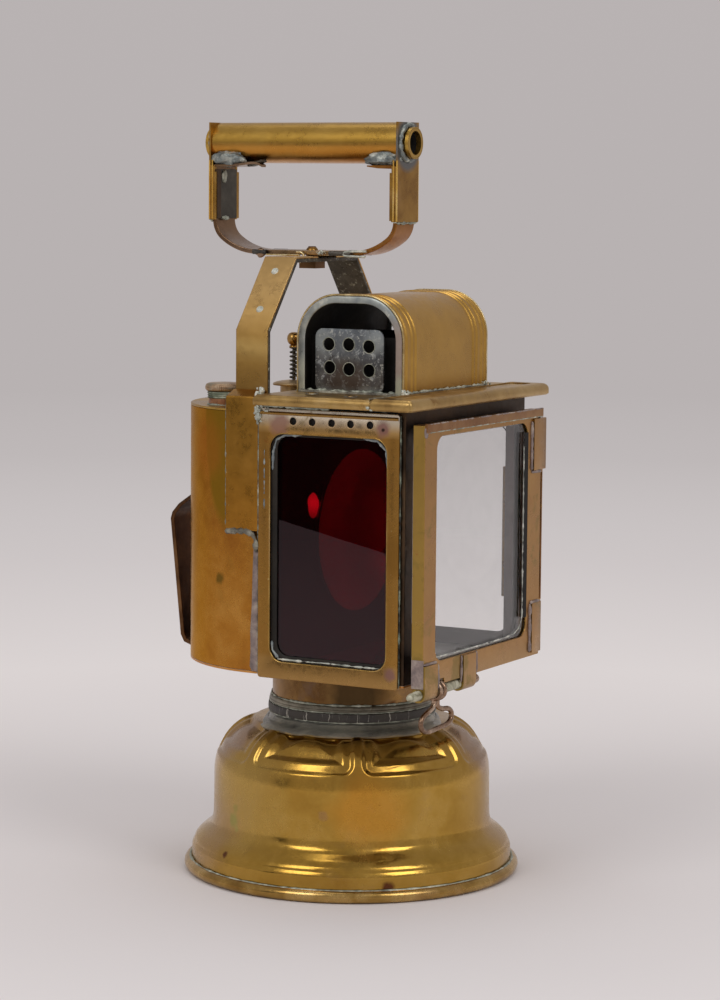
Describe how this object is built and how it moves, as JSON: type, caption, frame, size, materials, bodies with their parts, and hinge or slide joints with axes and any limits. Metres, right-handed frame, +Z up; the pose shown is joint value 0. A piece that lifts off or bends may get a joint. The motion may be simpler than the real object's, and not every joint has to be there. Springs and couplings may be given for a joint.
{
  "type": "railroad hand lantern",
  "caption": "Acetylene hand lantern: brass carbide base, square lamp house with hinged glazed door, red and clear side panes, rear water tank, draught hood and turning grip.",
  "frame": {"origin": "centre of the underside of the base, on the ground", "axes": "+Z up, -Y out through the door, -X out through the red pane, +Y towards the water tank"},
  "size_m": [0.15, 0.1623, 0.3322],
  "materials": {
    "gold_brass": "polished, mottled",
    "satin_brass": "satin, aged",
    "olive_brass": "aged, patchy",
    "brown_brass": "aged, brown patina",
    "pale_brass": "dull",
    "copper_brass": "coppery, worn",
    "dark_brass": "dark patina",
    "grey_zinc": "dull, oxidised",
    "tinned_sheet": "dull",
    "galvanised": "mottled",
    "dark_steel": "dark",
    "corroded_rod": "corroded, chalky",
    "black_rubber": "cracked",
    "ceramic": "matte",
    "polished_dish": "polished",
    "red_glass": "deep red, smooth",
    "clear_glass": "clear, smooth"
  },
  "bodies": {
    "base": {"base_shell": "gold_brass", "base_pan": "gold_brass", "base_collar": "grey_zinc", "carbide_basket": "tinned_sheet"},
    "seal": {"gasket": "black_rubber"},
    "door": {"door_frame": "brown_brass", "door_top_strip": "brown_brass", "door_glass": "clear_glass", "door_glass_bead": "tinned_sheet", "hinge_straps": "olive_brass", "latch_straps": "brown_brass", "latch_rod": "corroded_rod"},
    "ring": {"pull_ring": "copper_brass"},
    "handle": {"bow_strap": "olive_brass", "grip_tube": "olive_brass", "grip_liner": "olive_brass", "bow_sleeves": "olive_brass", "grip_gussets": "olive_brass", "bow_clips": "dark_steel"},
    "cap": {"filler_cap": "copper_brass"},
    "valve": {"valve_stem": "gold_brass"},
    "lantern": {"neck_flange": "grey_zinc", "neck_tube": "gold_brass", "house_floor": "tinned_sheet", "front_frame": "brown_brass", "left_wall": "brown_brass", "right_wall": "brown_brass", "rear_wall": "brown_brass", "left_window_plate": "olive_brass", "right_window_plate": "olive_brass", "red_glass": "red_glass", "clear_glass": "clear_glass", "left_glass_clips": "tinned_sheet", "right_glass_clips": "tinned_sheet", "tank_shell": "brown_brass", "tank_lid": "brown_brass", "filler_neck": "copper_brass", "valve_boss": "pale_brass", "valve_spring": "dark_steel", "drip_tube": "tinned_sheet", "burner_tube": "tinned_sheet", "burner_tip": "ceramic", "reflector": "polished_dish", "roof_plate": "brown_brass", "roof_front_cap": "brown_brass", "hood": "satin_brass", "baffles": "galvanised", "arch_strap": "dark_steel", "arch_skins": "gold_brass", "arch_rivets": "gold_brass", "side_brackets": "olive_brass", "rear_loop": "dark_brass", "swivel_rivet": "copper_brass", "hinge_leaf": "olive_brass", "hinge_pin": "dark_steel"}
  },
  "joints": [
    {"name": "lantern_lift", "type": "slide", "parent": "base", "child": "seal", "axis": [0, 0, 1], "range_m": [0, 0.07]},
    {"name": "lantern_turn", "type": "hinge", "parent": "seal", "child": "lantern", "pos_m": [0, 0, 0.0712], "axis": [0, 0, 1], "range_deg": [0, 45]},
    {"name": "door_swing", "type": "hinge", "parent": "lantern", "child": "door", "pos_m": [0.057, -0.0627, 0.15], "axis": [0, 0, 1], "range_deg": [0, 110]},
    {"name": "ring_swing", "type": "hinge", "parent": "door", "child": "ring", "pos_m": [-0.0412, -0.0638, 0.0916], "axis": [1, 0, 0], "range_deg": [-110, 45]},
    {"name": "handle_turn", "type": "hinge", "parent": "lantern", "child": "handle", "pos_m": [0, 0.0222, 0.2749], "axis": [0, 0, 1], "range_deg": [-90, 90]},
    {"name": "cap_lift", "type": "slide", "parent": "lantern", "child": "cap", "axis": [0, 0, 1], "range_m": [0, 0.015]},
    {"name": "valve_turn", "type": "hinge", "parent": "lantern", "child": "valve", "pos_m": [0, 0.0313, 0.225], "axis": [0, 0, 1], "range_deg": [0, 360]}
  ]
}
